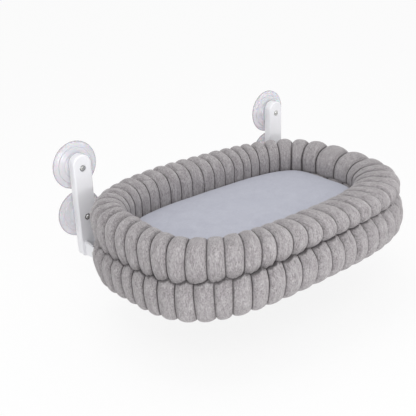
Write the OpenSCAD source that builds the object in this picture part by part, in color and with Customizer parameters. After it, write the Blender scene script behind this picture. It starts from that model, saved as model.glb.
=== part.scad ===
// Window mounted cat perch: two plastic arms with suction cups carry a folding tube frame,
// and a plush nest of two rows of puffs with a loose pad lies on the frame.
// The glass is the plane y = 0, the bed lies towards -Y, and Z is up.

/* [Bed ring] */
// Length of the bed along the window
bed_l = 630; // [600:5:680]
// Depth of the bed away from the window
bed_d = 416; // [400:4:460]
// Gap between the back of the bed and the glass
glass_gap = 4; // [3:1:12]
// Exponent of the bed's rounded outline, 2 is an ellipse
ring_power = 3.4; // [3.2:0.1:3.6]
// Width of the ring of puffs seen from above
ring_w = 96; // [92:1:104]
// Height of the upper row of puffs
upper_h = 51; // [42:1:62]
// Height of the lower row above the deck board
lower_h = 41; // [36:1:50]
// Depth that the lower row hangs below the top of the deck board
lobe_drop = 44; // [36:1:52]
// Puffs in each row
puff_n = 50; // [44:1:54]
// Depth of the sewn groove between two puffs
groove = 8; // [4:0.5:10]
// Shift of the lower row's seams, in puffs
seam_shift_share = 0.35; // [0:0.05:1]

/* [Tube frame] */
// Outer diameter of the frame tube
tube_d = 16; // [15:0.5:17]
// Wall of the frame tube
tube_wall = 1.5; // [1:0.1:2]
// Straight length of the frame's sides between the bends
side_straight = 54; // [50:1:58]
// Distance of the tube's middle inside the middle of the ring
tube_inset = 13; // [12:0.5:15]
// Distance of the plugs that join the two tubes from the bends
sleeve_end = 3; // [2:0.5:5]
// Wall of the plugs
sleeve_wall = 2; // [1.5:0.1:2.5]
// Diameter of the two cross bars
bar_d = 12; // [10:0.5:13]
// Wall of the cross bars
bar_wall = 1; // [0.8:0.1:1.5]
// Gap between a cross bar and the outer strap beside it
bar_gap = 12.5; // [10:0.5:20]
// Width of the webbing straps
strap_w = 25; // [20:1:30]
// Thickness of the webbing
strap_t = 1.3; // [1:0.1:1.5]
// Distance of the outer straps from the bends
strap_end = 5.5; // [4:0.5:8]

/* [Deck and pad] */
// Thickness of the deck board
board_t = 4; // [3:0.5:5]
// Rim of the board outside the tube's middle
board_rim = 6; // [4:0.5:7]
// Gap between the cloth under the board and the lugs' cradles
lining_gap = 2; // [1:0.5:4]
// Thickness of the cloth under the board
lining_t = 0.8; // [0.6:0.1:1]
// Height of the foam core
foam_h = 24; // [16:1:26]
// Height of the pad at its edge
pad_h = 21; // [16:1:24]
// Crown of the pad above its edge
pad_crown = 5; // [3:0.5:8]
// Gap between the pad and the ring around it
pad_gap = 1.5; // [1:0.5:4]
// How far the pad's sides are drawn in
pad_draw = 3; // [1:0.5:5]

/* [Arms] */
// Distance of an arm's middle outside the middle of the frame's side
arm_shift = 2; // [0:0.5:4]
// Width of an arm
arm_w = 38; // [36:1:40]
// Depth of an arm, back plate and front shell together
arm_d = 17; // [16:0.5:18]
// Arm above the upper screw
arm_over = 26; // [25:1:32]
// Arm below the lower screw
arm_under = 80; // [78:1:90]
// Corner radius at an arm's foot
foot_r = 9; // [6:1:11]
// Wall of the front shell
shell_wall = 2.4; // [2:0.1:2.6]
// Thickness of the back plate
plate_t = 4; // [3.5:0.1:4.5]
// Chamfer round the front face
arm_chamfer = 2; // [1:0.1:2.2]
// Back plate screw below the middle of the arm's round top
plate_screw_top = 26; // [22:1:30]
// Back plate screw above the arm's foot
plate_screw_foot = 42; // [36:1:50]
// Thickness of the shell's inner ribs
rib_t = 1.6; // [1.2:0.1:2]
// Distance of the outer ribs from the screws they stand by
rib_out = 46; // [44:1:48]
// Distance of the inner ribs from the arm's middle screw
rib_in = 24; // [20:1:28]
// Thickness of the steel spine inside
spine_t = 2; // [1.5:0.1:2.5]
// Width of the steel spine
spine_w = 24; // [22:1:26]

/* [Suction cups] */
// Diameter of a cup against the glass
cup_d = 94; // [88:1:96]
// Gap between the lips of the upper and the lower cup
cup_gap = 4; // [3:1:10]
// Height of a cup from the glass to the arm
cup_h = 13; // [12:0.5:14]
// Thickness of the cup's lip
lip_t = 1.6; // [1.2:0.1:2]
// Width of the sealing face at the rim
seal_w = 6; // [4:0.5:8]
// Depth of the hollow behind the sealing face
hollow_h = 2.6; // [1.5:0.1:3]
// Diameter of the cup's boss
boss_d = 27; // [24:1:30]
// Diameter of the threaded insert in the boss
insert_d = 9; // [8.5:0.1:10]
// Length of the threaded insert
insert_l = 8.5; // [8:0.1:9]

/* [Hinge] */
// Hinge pin below the lower screw
pin_drop = 63; // [62:1:66]
// Distance of the hinge pin from the glass
pin_out = 64; // [62:1:66]
// Diameter of the hinge pin
pin_d = 6; // [5:0.5:6.5]
// Thickness of one ear
ear_t = 5; // [4:0.5:6]
// Radius of the ears round the pin
ear_r = 11.5; // [11:0.5:12]
// Width of the lug between the ears
lug_w = 14; // [13:0.5:15]
// Thickness of the hinge washers
washer_t = 0.9; // [0.7:0.1:1.1]
// Diameter of the hinge washers
hinge_washer_d = 14; // [12:0.5:16]
// Diameter of the hinge pin's head
pin_head_d = 11; // [10:0.5:13]
// Height of the hinge pin's head
pin_head_h = 3.5; // [2.5:0.1:4]
// Width of the hinge nut across its corners
pin_nut_d = 11.5; // [10.5:0.1:13]
// Height of the hinge nut
pin_nut_h = 6; // [4:0.5:6]
// Diameter of the hinge bush
bush_d = 9; // [8:0.5:10]
// Height of the lug's neck
neck_h = 14; // [12:1:15]
// Wall of the lug's cradle round the tube
cradle_wall = 4; // [3:0.5:5]
// Cradle's place round the bend, counted from the bed's side
cradle_angle = 40; // [37:1:43]
// Length of the cradle round the bend
cradle_span = 20; // [18:1:22]
// Width of the slit in the lower row that lets the lug through
slit_w = 64; // [62:1:68]

/* [Fasteners] */
// Diameter of the cup screws
screw_d = 5; // [4:0.5:5]
// Head diameter of the cup screws
screw_head_d = 9; // [8:0.5:9.5]
// Head height of the cup screws
screw_head_h = 2.8; // [2.4:0.1:3.2]
// Depth of the recess round a cup screw's head
recess_h = 1.2; // [0.8:0.1:1.4]
// Room round a cup screw's washer in its recess
recess_room = 2; // [1.8:0.1:2.4]
// Rim of a cup screw's washer outside the head
washer_rim = 1.5; // [1:0.1:1.7]
// Thickness of a cup screw's washer
cup_washer_t = 0.8; // [0.6:0.1:1]
// Diameter of the small screws
small_d = 3.5; // [3:0.1:4]
// Head diameter of the small screws
small_head_d = 7; // [6.4:0.1:7.5]
// Head height of the small screws
small_head_h = 2.2; // [1.8:0.1:2.4]
// Room round a small screw's head in its recess
head_room = 0.5; // [0.3:0.1:1]
// Length of a back plate screw in the shell
screw_bite = 5; // [4:0.5:6]

/* [Hidden] */
$fn = 64;

// Overrun of every cut, and how far a boss or rib reaches into its wall
over = 1;
weld_in = 0.5;
// Gaps: under soft pieces, in running fits, and between faces
rest_gap = 0.3;
run_gap = 0.05;
face_gap = 0.1;

// Shares: a cup's steps and cone, a screw head's slot, bit and top, the neck's side, the screws'
// place in a plug, the cloth's room round a bar, and the middle of the pad's underside
cup_step_out_share = 0.76;
cup_step_in_share = 0.5;
cup_cone_share = 0.3;
head_slot_share = 0.14;
head_bit_share = 0.6;
head_top_share = 0.72;
neck_side_share = 0.7;
joint_screw_share = 0.36;
bar_room_share = 0.8;
pad_under_share = 0.9;

// Heights
cup_z = (cup_d + cup_gap) / 2;
pin_z = -cup_z - pin_drop;
tube_r = tube_d / 2;
board_bottom = pin_z + tube_r;
board_top = board_bottom + board_t;
lower_base = board_top + rest_gap;
lower_top = board_top + lower_h;
lobe_bottom = board_top - lobe_drop;
upper_base = lower_top + rest_gap;
foam_top = lower_base + foam_h;
pad_base = foam_top + rest_gap;

// Plan of the ring
bed_y = -glass_gap - bed_d / 2;
ring_x = bed_l / 2 - ring_w / 2;
ring_y = bed_d / 2 - ring_w / 2;
tube_x = ring_x - tube_inset;
tube_y = ring_y - tube_inset;
bend_y = side_straight / 2;
bend_r = tube_y - bend_y;
bend_x = tube_x - bend_r;
sleeve_l = side_straight - 2 * sleeve_end;
strap_pitch = bend_x - strap_end - strap_w / 2;
bar_pitch = 2 * (strap_pitch - strap_w / 2 - bar_gap - bar_d / 2);
arm_x = tube_x + arm_shift;
strap_r = tube_r + face_gap;
strap_out = strap_r + strap_t;

// Depths from the glass, along -Y
plate_out = cup_h + plate_t;
arm_out = cup_h + arm_d;
recess_out = arm_out - recess_h;
head_out = recess_out + cup_washer_t;

// Hinge
slot_w = lug_w + 2 * (washer_t + 2 * run_gap);
clevis_w = slot_w + 2 * ear_t;
cradle_r = tube_r + cradle_wall;
cradle_x = bend_x + bend_r * cos(cradle_angle);
cradle_y = bed_y + bend_y + bend_r * sin(cradle_angle);
cradle_floor = pin_z - cradle_r;
neck_top = pin_z + neck_h / 2;
neck_reach = pin_out + ear_r + neck_h / 2;
ear_root = pin_z + ear_r + ear_t / 2;
ear_foot = pin_z - ear_r - ear_t / 2;

// Ring outline by the angle seen from the bed's middle
turn = 360;
path_steps = 180;
function ring_r(a) = pow(
    pow(abs(cos(a)) / ring_x, ring_power) + pow(abs(sin(a)) / ring_y, ring_power),
    -1 / ring_power
);
function ring_point(a) = ring_r(a) * [cos(a), sin(a)];
function pull(v, size) = sign(v) * pow(abs(v) / size, ring_power - 1) / size;
function ring_normal(a) = let (
    p = ring_point(a),
    g = [pull(p[0], ring_x), pull(p[1], ring_y)]
) g / norm(g);
function offset_point(a, n) = ring_point(a) + n * ring_normal(a);
// Lengths round the ring are measured near its outer side, where the seams are evenly spaced
seam_line_share = 0.85;
function seam_point(a) = offset_point(a, seam_line_share * ring_w / 2);
function ring_step(i) = norm(
    seam_point((i + 1) * turn / path_steps) - seam_point(i * turn / path_steps)
);
path_s = [for (i = 0, s = 0; i <= path_steps; s = s + ring_step(i), i = i + 1) s];
ring_len = path_s[path_steps];
angle_of_s = [for (i = [0:path_steps]) [path_s[i], i * turn / path_steps]];
s_of_angle = [for (i = [0:path_steps]) [i * turn / path_steps, path_s[i]]];
function angle_at(s) = lookup(s - ring_len * floor(s / ring_len), angle_of_s);

// Puffs: a groove at each seam that fades out towards the puff's middle
puff_pitch = ring_len / puff_n;
seam_sharp = 8;
puff_station_shares = [0, 0.33, 0.67];
function groove_at(s) = groove * pow(abs(cos(turn / 2 * s / puff_pitch)), seam_sharp);

// Slits for the lugs, one on each side
slit_angle = atan2(
    (-pin_out + cradle_y) / 2 - bed_y,
    (arm_x + cradle_x) / 2
);
slit_right = lookup(slit_angle, s_of_angle);
slit_middles = [slit_right, ring_len / 2 - slit_right];
slit_ends = [for (m = slit_middles) each [m - slit_w / 2, m + slit_w / 2]];
slit_roof = pin_z + ear_r + ear_t;
slit_step = 0.4;
function in_slit(s) = min([for (m = slit_middles) abs(s - m)]) < slit_w / 2;

// Section of the upper row: across from the ring's middle, and up from its base
upper_shares = [
    [0.94, 0.42], [0.8, 0.82], [0.34, 1], [-0.34, 1],
    [-0.83, 0.82], [-1, 0.42], [-0.96, 0], [0.76, 0]
];
// Section of the lower row: the outer points hang below the deck board
lobe_in = 5;
lower_outer_shares = [[0.62, 0], [0.96, 0.3], [1, 0.62], [0.8, 1]];

// Turns a list of rings of points into the triangles of a closed loop
function loop_faces(rings, sides) = [
    for (j = [0:rings - 1], k = [0:sides - 1])
        let (
            a = j * sides + k,
            b = j * sides + (k + 1) % sides,
            c = ((j + 1) % rings) * sides + (k + 1) % sides,
            d = ((j + 1) % rings) * sides + k
        )
        each [[a, b, c], [a, c, d]]
];

module ring_solid(sections) {
    sides = len(sections[0][1]);
    points = [
        for (st = sections, q = st[1])
            let (p = offset_point(angle_at(st[0]), q[0])) [p[0], p[1], q[1]]
    ];
    translate([0, bed_y, 0])
        polyhedron(points, loop_faces(len(sections), sides), convexity = 10);
}

module along_y(from, to) {
    rotate([90, 0, 0]) translate([0, 0, from]) linear_extrude(to - from) children();
}

module along_x(from, to) {
    rotate([90, 0, 90]) translate([0, 0, from]) linear_extrude(to - from) children();
}

// A round bar from one depth to another, pointing away from the glass
module stud(d, from, to) {
    rotate([90, 0, 0]) translate([0, 0, from]) cylinder(h = to - from, d = d);
}

module both_sides() {
    children();
    mirror([1, 0, 0]) children();
}

module at_cups() {
    for (z = [-cup_z, cup_z]) translate([arm_x, 0, z]) children();
}

// Arm outline in the plane of the glass, drawn in by a wall
module arm_outline(inset) {
    half = arm_w / 2;
    top = cup_z + arm_over - half;
    foot = -cup_z - arm_under;
    translate([arm_x, top]) circle(r = half - inset);
    translate([arm_x - half + inset, foot + foot_r])
        square([arm_w - 2 * inset, top - foot - foot_r]);
    translate([arm_x - half + foot_r, foot + inset])
        square([arm_w - 2 * foot_r, foot_r]);
    for (side = [-1, 1])
        translate([arm_x + side * (half - foot_r), foot + foot_r])
            circle(r = foot_r - inset);
}

plate_screw_z = [
    cup_z + arm_over - arm_w / 2 - plate_screw_top, 0, -cup_z - arm_under + plate_screw_foot
];
arm_boss_d = screw_d + 2 * shell_wall;
plate_boss_d = small_d + 2 * shell_wall;
rib_z = [-cup_z - rib_out, -rib_in, rib_in];

module ear_profile() {
    circle_at = [-pin_out, pin_z];
    translate(circle_at) circle(r = ear_r);
    polygon([
        [-arm_out + shell_wall, ear_foot], [-arm_out + shell_wall, ear_root],
        [-pin_out, pin_z + ear_r], [-pin_out, pin_z - ear_r]
    ]);
}

module arm_front() {
    inner_out = arm_out - shell_wall;
    color("white") difference() {
        union() {
            difference() {
                union() {
                    along_y(plate_out + run_gap, arm_out - arm_chamfer) arm_outline(0);
                    hull() {
                        along_y(arm_out - 2 * arm_chamfer, arm_out - arm_chamfer)
                            arm_outline(0);
                        along_y(arm_out - arm_chamfer, arm_out)
                            arm_outline(arm_chamfer);
                    }
                }
                along_y(plate_out - over, inner_out) arm_outline(shell_wall);
            }
            at_cups() stud(arm_boss_d, plate_out + spine_t + run_gap, inner_out + weld_in);
            for (z = plate_screw_z)
                translate([arm_x, 0, z])
                    stud(plate_boss_d, plate_out + spine_t + run_gap, inner_out + weld_in);
            for (z = rib_z)
                translate([arm_x - spine_w / 2, -inner_out - weld_in, z])
                    cube([
                        spine_w, inner_out + weld_in - plate_out - spine_t - run_gap, rib_t
                    ]);
            for (side = [-1, 1])
                along_x(
                    arm_x + side * (slot_w + ear_t) / 2 - ear_t / 2,
                    arm_x + side * (slot_w + ear_t) / 2 + ear_t / 2
                ) ear_profile();
        }
        at_cups() {
            stud(screw_d + 2 * run_gap, plate_out - over, arm_out + over);
            stud(screw_head_d + 2 * recess_room, recess_out, arm_out + over);
        }
        for (z = plate_screw_z)
            translate([arm_x, 0, z])
                stud(small_d - run_gap, plate_out - over, inner_out);
        translate([arm_x - clevis_w / 2 - over, -pin_out, pin_z])
            rotate([0, 90, 0]) cylinder(h = clevis_w + 2 * over, d = pin_d + 2 * run_gap);
    }
}

module arm_back() {
    color("gainsboro") difference() {
        along_y(cup_h, plate_out) arm_outline(0);
        at_cups() stud(screw_d + 2 * run_gap, cup_h - over, plate_out + over);
        for (z = plate_screw_z)
            translate([arm_x, 0, z]) {
                stud(small_d + 2 * run_gap, cup_h - over, plate_out + over);
                stud(small_head_d + 2 * head_room, cup_h - over, cup_h + small_head_h + run_gap);
            }
    }
}

module spine() {
    low = -cup_z - arm_under + foot_r;
    high = cup_z + arm_over - arm_w / 2;
    color("silver") difference() {
        translate([arm_x - spine_w / 2, -plate_out - spine_t, low])
            cube([spine_w, spine_t, high - low]);
        at_cups() stud(screw_d + 2 * run_gap, plate_out - over, plate_out + spine_t + over);
        for (z = plate_screw_z)
            translate([arm_x, 0, z])
                stud(small_d + 2 * run_gap, plate_out - over, plate_out + spine_t + over);
    }
}

// Half section of a cup: radius, and depth from the glass
lip_r = cup_d / 2;
seal_r = lip_r - seal_w;
step_out_r = lip_r * cup_step_out_share;
step_in_r = lip_r * cup_step_in_share;
cup_floor = cup_h - insert_l;
step_h = 1.4;
cone_h = cup_h * cup_cone_share;

module cup(z) {
    boss_r = boss_d / 2;
    color([0.9, 0.91, 0.93, 0.75]) translate([arm_x, 0, z]) rotate([90, 0, 0])
        difference() {
            rotate_extrude() polygon([
                [0, hollow_h], [step_in_r, hollow_h], [seal_r, 0], [lip_r, 0],
                [lip_r, lip_t], [step_out_r, cone_h - step_h / 2],
                [step_out_r, cone_h + step_h / 2], [step_in_r, 2 * cone_h - step_h],
                [step_in_r, 2 * cone_h], [boss_r, 2 * cone_h + step_h],
                [boss_r, cup_h], [0, cup_h]
            ]);
            translate([0, 0, cup_floor]) cylinder(h = insert_l + over, d = insert_d);
        }
}

module cup_inserts() {
    color("goldenrod") both_sides() at_cups() rotate([90, 0, 0]) difference() {
        translate([0, 0, cup_floor]) cylinder(h = insert_l, d = insert_d);
        translate([0, 0, cup_floor - over])
            cylinder(h = insert_l + 2 * over, d = screw_d + 2 * run_gap);
    }
}

// Pan head with a crossed slot
module pan_head(d, h) {
    slot = d * head_slot_share;
    reach = d * head_bit_share;
    difference() {
        cylinder(h = h, d1 = d, d2 = d * head_top_share);
        for (a = [0, 90])
            rotate(a) translate([-reach / 2, -slot / 2, h / 2]) cube([reach, slot, h]);
    }
}

module cup_screws() {
    color("silver") both_sides() at_cups() {
        stud(screw_d, cup_floor + run_gap, head_out);
        rotate([90, 0, 0]) translate([0, 0, head_out])
            pan_head(screw_head_d, screw_head_h);
    }
}

module cup_washers() {
    color("gray") both_sides() at_cups() difference() {
        stud(screw_head_d + 2 * washer_rim, recess_out, head_out);
        stud(screw_d + 2 * run_gap, recess_out - over, head_out + over);
    }
}

module arm_screws() {
    grip = plate_out + spine_t + screw_bite;
    color("dimgray") both_sides() for (z = plate_screw_z) translate([arm_x, 0, z]) {
        stud(small_d - 2 * run_gap, cup_h + small_head_h, grip);
        stud(small_head_d, cup_h, cup_h + small_head_h);
    }
}

module hinge_pins() {
    half = clevis_w / 2 + run_gap;
    color("silver") both_sides() translate([arm_x, -pin_out, pin_z]) rotate([0, 90, 0]) {
        translate([0, 0, half]) cylinder(h = pin_head_h, d = pin_head_d);
        translate([0, 0, -half - pin_nut_h]) cylinder(h = 2 * half + pin_nut_h, d = pin_d);
    }
}

module hinge_nuts() {
    half = clevis_w / 2 + run_gap;
    color("silver") both_sides() translate([arm_x, -pin_out, pin_z]) rotate([0, -90, 0])
        translate([0, 0, half]) difference() {
            cylinder(h = pin_nut_h, d = pin_nut_d, $fn = 6);
            translate([0, 0, -over])
                cylinder(h = pin_nut_h + 2 * over, d = pin_d + 2 * run_gap);
        }
}

// Plan of the neck that leads from the eye to the cradle
module neck_plan() {
    half = lug_w / 2;
    side = neck_h * neck_side_share;
    out = [cos(cradle_angle), sin(cradle_angle)];
    across = [-sin(cradle_angle), cos(cradle_angle)];
    tip = [cradle_x, cradle_y];
    near = tip + side * across + tube_r * out;
    far = tip - side * across + tube_r * out;
    polygon([
        [arm_x - half, -pin_out], [arm_x + half, -pin_out], [arm_x + half, -neck_reach],
        far, far - tube_r * out, near - tube_r * out, near, [arm_x - half, -neck_reach + half]
    ]);
}

module at_bend(angle) {
    translate([bend_x, bed_y + bend_y, pin_z]) rotate(angle) children();
}

module lug() {
    heel_top = pin_z - ear_r / 2;
    color("darkgray") difference() {
        union() {
            translate([arm_x - lug_w / 2, -pin_out, pin_z])
                rotate([0, 90, 0]) cylinder(h = lug_w, r = ear_r);
            along_x(arm_x - lug_w / 2, arm_x + lug_w / 2) polygon([
                [-pin_out, pin_z - ear_r], [-pin_out, pin_z], [-arm_out - face_gap, heel_top],
                [-arm_out - face_gap, pin_z - ear_r]
            ]);
            translate([0, 0, neck_top - neck_h]) linear_extrude(neck_h) neck_plan();
            at_bend(cradle_angle - cradle_span / 2) rotate_extrude(angle = cradle_span)
                translate([bend_r - cradle_r, -cradle_r])
                    square([2 * cradle_r, cradle_r + tube_r - rest_gap]);
        }
        at_bend(cradle_angle - cradle_span)
            rotate_extrude(angle = 2 * cradle_span) {
                translate([bend_r, 0]) circle(r = tube_r + run_gap);
                translate([bend_r - tube_r - run_gap, 0])
                    square([2 * (tube_r + run_gap), neck_h]);
            }
        translate([arm_x - lug_w, -pin_out, pin_z])
            rotate([0, 90, 0]) cylinder(h = 2 * lug_w, d = bush_d + 2 * run_gap);
        at_lug_screws() translate([0, 0, -cradle_r - over])
            cylinder(h = cradle_r, d = small_d + 2 * run_gap);
    }
}

module at_lug_screws() {
    for (side = [-1, 1])
        at_bend(cradle_angle + side * cradle_span / 4) translate([bend_r, 0, 0]) children();
}

module up_screw(seat, reach) {
    translate([0, 0, seat - small_head_h]) cylinder(h = small_head_h, d = small_head_d);
    translate([0, 0, seat - small_head_h / 2])
        cylinder(h = reach + small_head_h / 2, d = small_d);
}

module lug_screws() {
    color("dimgray") both_sides() at_lug_screws()
        up_screw(-cradle_r - run_gap, cradle_wall + 2 * tube_wall);
}

module hinge_bushes() {
    color("khaki") both_sides() translate([arm_x - lug_w / 2, -pin_out, pin_z])
        rotate([0, 90, 0]) difference() {
            cylinder(h = lug_w, d = bush_d);
            translate([0, 0, -over]) cylinder(h = lug_w + 2 * over, d = pin_d + 2 * run_gap);
        }
}

module hinge_washers() {
    reach = lug_w / 2 + run_gap;
    color("ivory") both_sides() for (turn_over = [0, 180])
        translate([arm_x, -pin_out, pin_z]) rotate([0, 90 + turn_over, 0])
            translate([0, 0, reach]) difference() {
                cylinder(h = washer_t, d = hinge_washer_d);
                translate([0, 0, -over])
                    cylinder(h = washer_t + 2 * over, d = pin_d + 2 * run_gap);
            }
}

joint_screw_y = sleeve_l * joint_screw_share;

module at_joint_screws() {
    both_sides() for (side = [-1, 1])
        translate([tube_x, bed_y + side * joint_screw_y, pin_z]) children();
}

module round_tube(from, to, d) {
    translate([tube_x, 0, pin_z]) rotate([90, 0, 0])
        translate([0, 0, from]) cylinder(h = to - from, d = d);
}

// One half of the frame, drawn for the side towards the glass
module half_frame() {
    bore = tube_d - 2 * tube_wall;
    both_sides() {
        difference() {
            round_tube(-bed_y - bend_y, -bed_y, tube_d);
            round_tube(-bed_y - bend_y - over, -bed_y + over, bore);
        }
        at_bend(0) rotate_extrude(angle = 90) translate([bend_r, 0]) difference() {
            circle(d = tube_d);
            circle(d = bore);
        }
    }
    translate([0, bed_y + tube_y, pin_z]) rotate([0, 90, 0]) difference() {
        cylinder(h = 2 * bend_x, d = tube_d, center = true);
        cylinder(h = 2 * bend_x + over, d = bore, center = true);
    }
}

module rear_tube() {
    color("slategray") difference() {
        half_frame();
        at_joint_screws() translate([0, 0, -tube_d])
            cylinder(h = tube_d, d = small_d + 2 * run_gap);
        both_sides() at_lug_screws() translate([0, 0, -tube_d])
            cylinder(h = tube_d, d = small_d + 2 * run_gap);
    }
}

module front_tube() {
    color("slategray") difference() {
        translate([0, 2 * bed_y, 0]) mirror([0, 1, 0]) half_frame();
        at_joint_screws() translate([0, 0, -tube_d])
            cylinder(h = tube_d, d = small_d + 2 * run_gap);
    }
}

module joint_sleeves() {
    sleeve_d = tube_d - 2 * tube_wall - 2 * run_gap;
    color("darkgray") difference() {
        both_sides() round_tube(-bed_y - sleeve_l / 2, -bed_y + sleeve_l / 2, sleeve_d);
        both_sides() round_tube(
            -bed_y - sleeve_l / 2 - over, -bed_y + sleeve_l / 2 + over,
            sleeve_d - 2 * sleeve_wall
        );
        at_joint_screws() translate([0, 0, -tube_d])
            cylinder(h = tube_d, d = small_d + 2 * run_gap);
    }
}

module joint_screws() {
    color("dimgray") at_joint_screws()
        up_screw(-tube_r - run_gap, tube_wall + sleeve_wall + over);
}

module cross_bars() {
    bar_z = board_bottom - bar_d / 2;
    color("slategray") for (side = [-1, 1]) difference() {
        translate([side * bar_pitch / 2, bed_y + tube_y, bar_z])
            rotate([90, 0, 0]) cylinder(h = 2 * tube_y, d = bar_d);
        translate([side * bar_pitch / 2, bed_y + tube_y + over, bar_z])
            rotate([90, 0, 0]) cylinder(h = 2 * (tube_y + over), d = bar_d - 2 * bar_wall);
        for (end = [-1, 1])
            translate([side * bar_pitch / 2 - bar_d, bed_y + end * tube_y, pin_z])
                rotate([0, 90, 0]) cylinder(h = 2 * bar_d, d = tube_d);
    }
}

// Plan of the frame, a margin outside the tube's middle
module frame_plan(margin) {
    square([2 * (tube_x + margin), 2 * bend_y], center = true);
    square([2 * bend_x, 2 * (tube_y + margin)], center = true);
    for (sx = [-1, 1], sy = [-1, 1])
        translate([sx * bend_x, sy * bend_y]) circle(r = bend_r + margin);
}

module base_board() {
    color("burlywood") translate([0, bed_y, board_bottom])
        linear_extrude(board_t) frame_plan(board_rim);
}

module base_lining() {
    edge = cradle_r + lining_gap;
    bar_clear = bar_d * bar_room_share;
    color("dimgray") translate([0, bed_y, board_bottom - lining_t])
        linear_extrude(lining_t) difference() {
            frame_plan(-edge);
            for (side = [-1, 1])
                translate([side * bar_pitch / 2, 0])
                    square([bar_clear, 2 * tube_y], center = true);
        }
}

// Section of a strap that hangs from the board round the tube, in a half plane
module strap_section() {
    leg = tube_r - rest_gap;
    difference() {
        union() {
            circle(r = strap_out);
            translate([-strap_out, 0]) square([2 * strap_out, leg]);
        }
        circle(r = strap_r);
        translate([-strap_r, 0]) square([2 * strap_r, leg + over]);
        translate([-strap_out - over, leg])
            square([2 * (strap_out + over), strap_out]);
    }
}

module side_straps() {
    color("darkslategray") both_sides()
        translate([tube_x, bed_y + strap_w / 2, pin_z]) rotate([90, 0, 0])
            linear_extrude(strap_w) strap_section();
}

module strap_row(y) {
    for (i = [-1:1])
        translate([i * strap_pitch - strap_w / 2, y, pin_z]) rotate([90, 0, 90])
            linear_extrude(strap_w) strap_section();
}

module front_straps() {
    color("darkslategray") strap_row(bed_y - tube_y);
}

module rear_straps() {
    color("darkslategray") strap_row(bed_y + tube_y);
}

module corner_straps() {
    span = strap_w / bend_r * turn / (2 * PI);
    color("darkslategray") both_sides()
        translate([bend_x, bed_y - bend_y, pin_z]) rotate(-45 - span / 2)
            rotate_extrude(angle = span) translate([bend_r, 0]) strap_section();
}

// Plan of what lies inside the ring, a margin outside the ring's middle
plan_sides = 96;
module ring_plan(margin) {
    polygon([for (i = [0:plan_sides - 1]) offset_point(i * turn / plan_sides, margin)]);
}

pad_margin = -ring_w / 2 - pad_gap;

module base_foam() {
    color("beige") translate([0, bed_y, lower_base])
        linear_extrude(foam_h) ring_plan(pad_margin);
}

// Rings of the lower row with a step at each end of the slits
puff_stations = [for (i = [0:puff_n - 1], f = puff_station_shares) (i + f) * puff_pitch];
lower_shift = seam_shift_share * puff_pitch;
lower_stations = [
    for (j = [0:len(puff_stations) - 1])
        let (
            s = puff_stations[j] + lower_shift,
            t = (j + 1 < len(puff_stations) ? puff_stations[j + 1] : ring_len) + lower_shift
        )
        each concat([s], [
            for (e = slit_ends)
                if (e > s && e < t)
                    each [max(e - slit_step / 2, s + face_gap), min(e + slit_step / 2, t - face_gap)]
        ])
];

function lower_section(s) = let (
    sink = groove_at(s - lower_shift),
    half = ring_w / 2,
    full = lower_top - lobe_bottom,
    floor_z = in_slit(s) ? slit_roof : lobe_bottom,
    outer = [
        for (q = lower_outer_shares) [
            q[0] * (half - sink),
            max(lower_top - (1 - q[1]) * (full - sink), floor_z)
        ]
    ]
) concat([
    [-half, lower_top], [-half, lower_base],
    [lobe_in, lower_base], [lobe_in, max(lobe_bottom + sink, floor_z)]
], outer);

module lower_bolster() {
    color("darkgray") ring_solid([for (s = lower_stations) [s, lower_section(s)]]);
}

function upper_section(s) = let (
    sink = groove_at(s),
    half = ring_w / 2
) [for (q = upper_shares) [q[0] * (half - sink), upper_base + q[1] * (upper_h - sink)]];

module upper_bolster() {
    color("darkgray") ring_solid([for (s = puff_stations) [s, upper_section(s)]]);
}

// Pad: rings from the underside over the drawn-in side to the crown, and two middles
pad_sides = 64;
pad_side_shares = [0.3, 0.7];
pad_crown_shares = [[0.93, 0.35], [0.78, 0.78], [0.45, 0.98]];

function pad_ring(margin, share, z) = [
    for (i = [0:pad_sides - 1])
        let (p = offset_point(i * turn / pad_sides, margin) * share) [p[0], p[1], z]
];

module pad() {
    rings = concat(
        [pad_ring(pad_margin - pad_draw, pad_under_share, pad_base)],
        [pad_ring(pad_margin - pad_draw / 2, 1, pad_base)],
        [for (q = pad_side_shares) pad_ring(pad_margin - pad_draw, 1, pad_base + q * pad_h)],
        [pad_ring(pad_margin, 1, pad_base + pad_h)],
        [for (q = pad_crown_shares)
            pad_ring(pad_margin, q[0], pad_base + pad_h + q[1] * pad_crown)]
    );
    count = len(rings);
    last = count * pad_sides;
    points = concat(
        [for (r = rings) each r],
        [[0, 0, pad_base], [0, 0, pad_base + pad_h + pad_crown]]
    );
    sides = [
        for (j = [0:count - 2], k = [0:pad_sides - 1])
            let (
                a = j * pad_sides + k,
                b = j * pad_sides + (k + 1) % pad_sides,
                c = b + pad_sides,
                d = a + pad_sides
            )
            each [[a, c, b], [a, d, c]]
    ];
    ends = [
        for (k = [0:pad_sides - 1])
            let (n = (k + 1) % pad_sides, top = (count - 1) * pad_sides)
            each [[last, k, n], [last + 1, top + n, top + k]]
    ];
    color("lightsteelblue") translate([0, bed_y, 0])
        polyhedron(points, concat(sides, ends), convexity = 4);
}

module on_left() {
    mirror([1, 0, 0]) children();
}

on_left() arm_front();  // left_arm_front
arm_front();  // right_arm_front
on_left() arm_back();  // left_arm_back
arm_back();  // right_arm_back
on_left() spine();  // left_spine
spine();  // right_spine
on_left() cup(cup_z);  // left_upper_cup
on_left() cup(-cup_z);  // left_lower_cup
cup(cup_z);  // right_upper_cup
cup(-cup_z);  // right_lower_cup
cup_inserts();
cup_screws();
cup_washers();
arm_screws();
hinge_pins();
hinge_nuts();
on_left() lug();  // left_lug
lug();  // right_lug
hinge_bushes();
hinge_washers();
lug_screws();
front_tube();
rear_tube();
joint_sleeves();
joint_screws();
cross_bars();
base_board();
base_lining();
side_straps();
front_straps();
rear_straps();
corner_straps();
base_foam();
lower_bolster();
upper_bolster();
pad();
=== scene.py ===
import math

import bpy
import numpy as np
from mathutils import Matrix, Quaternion, Vector


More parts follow.
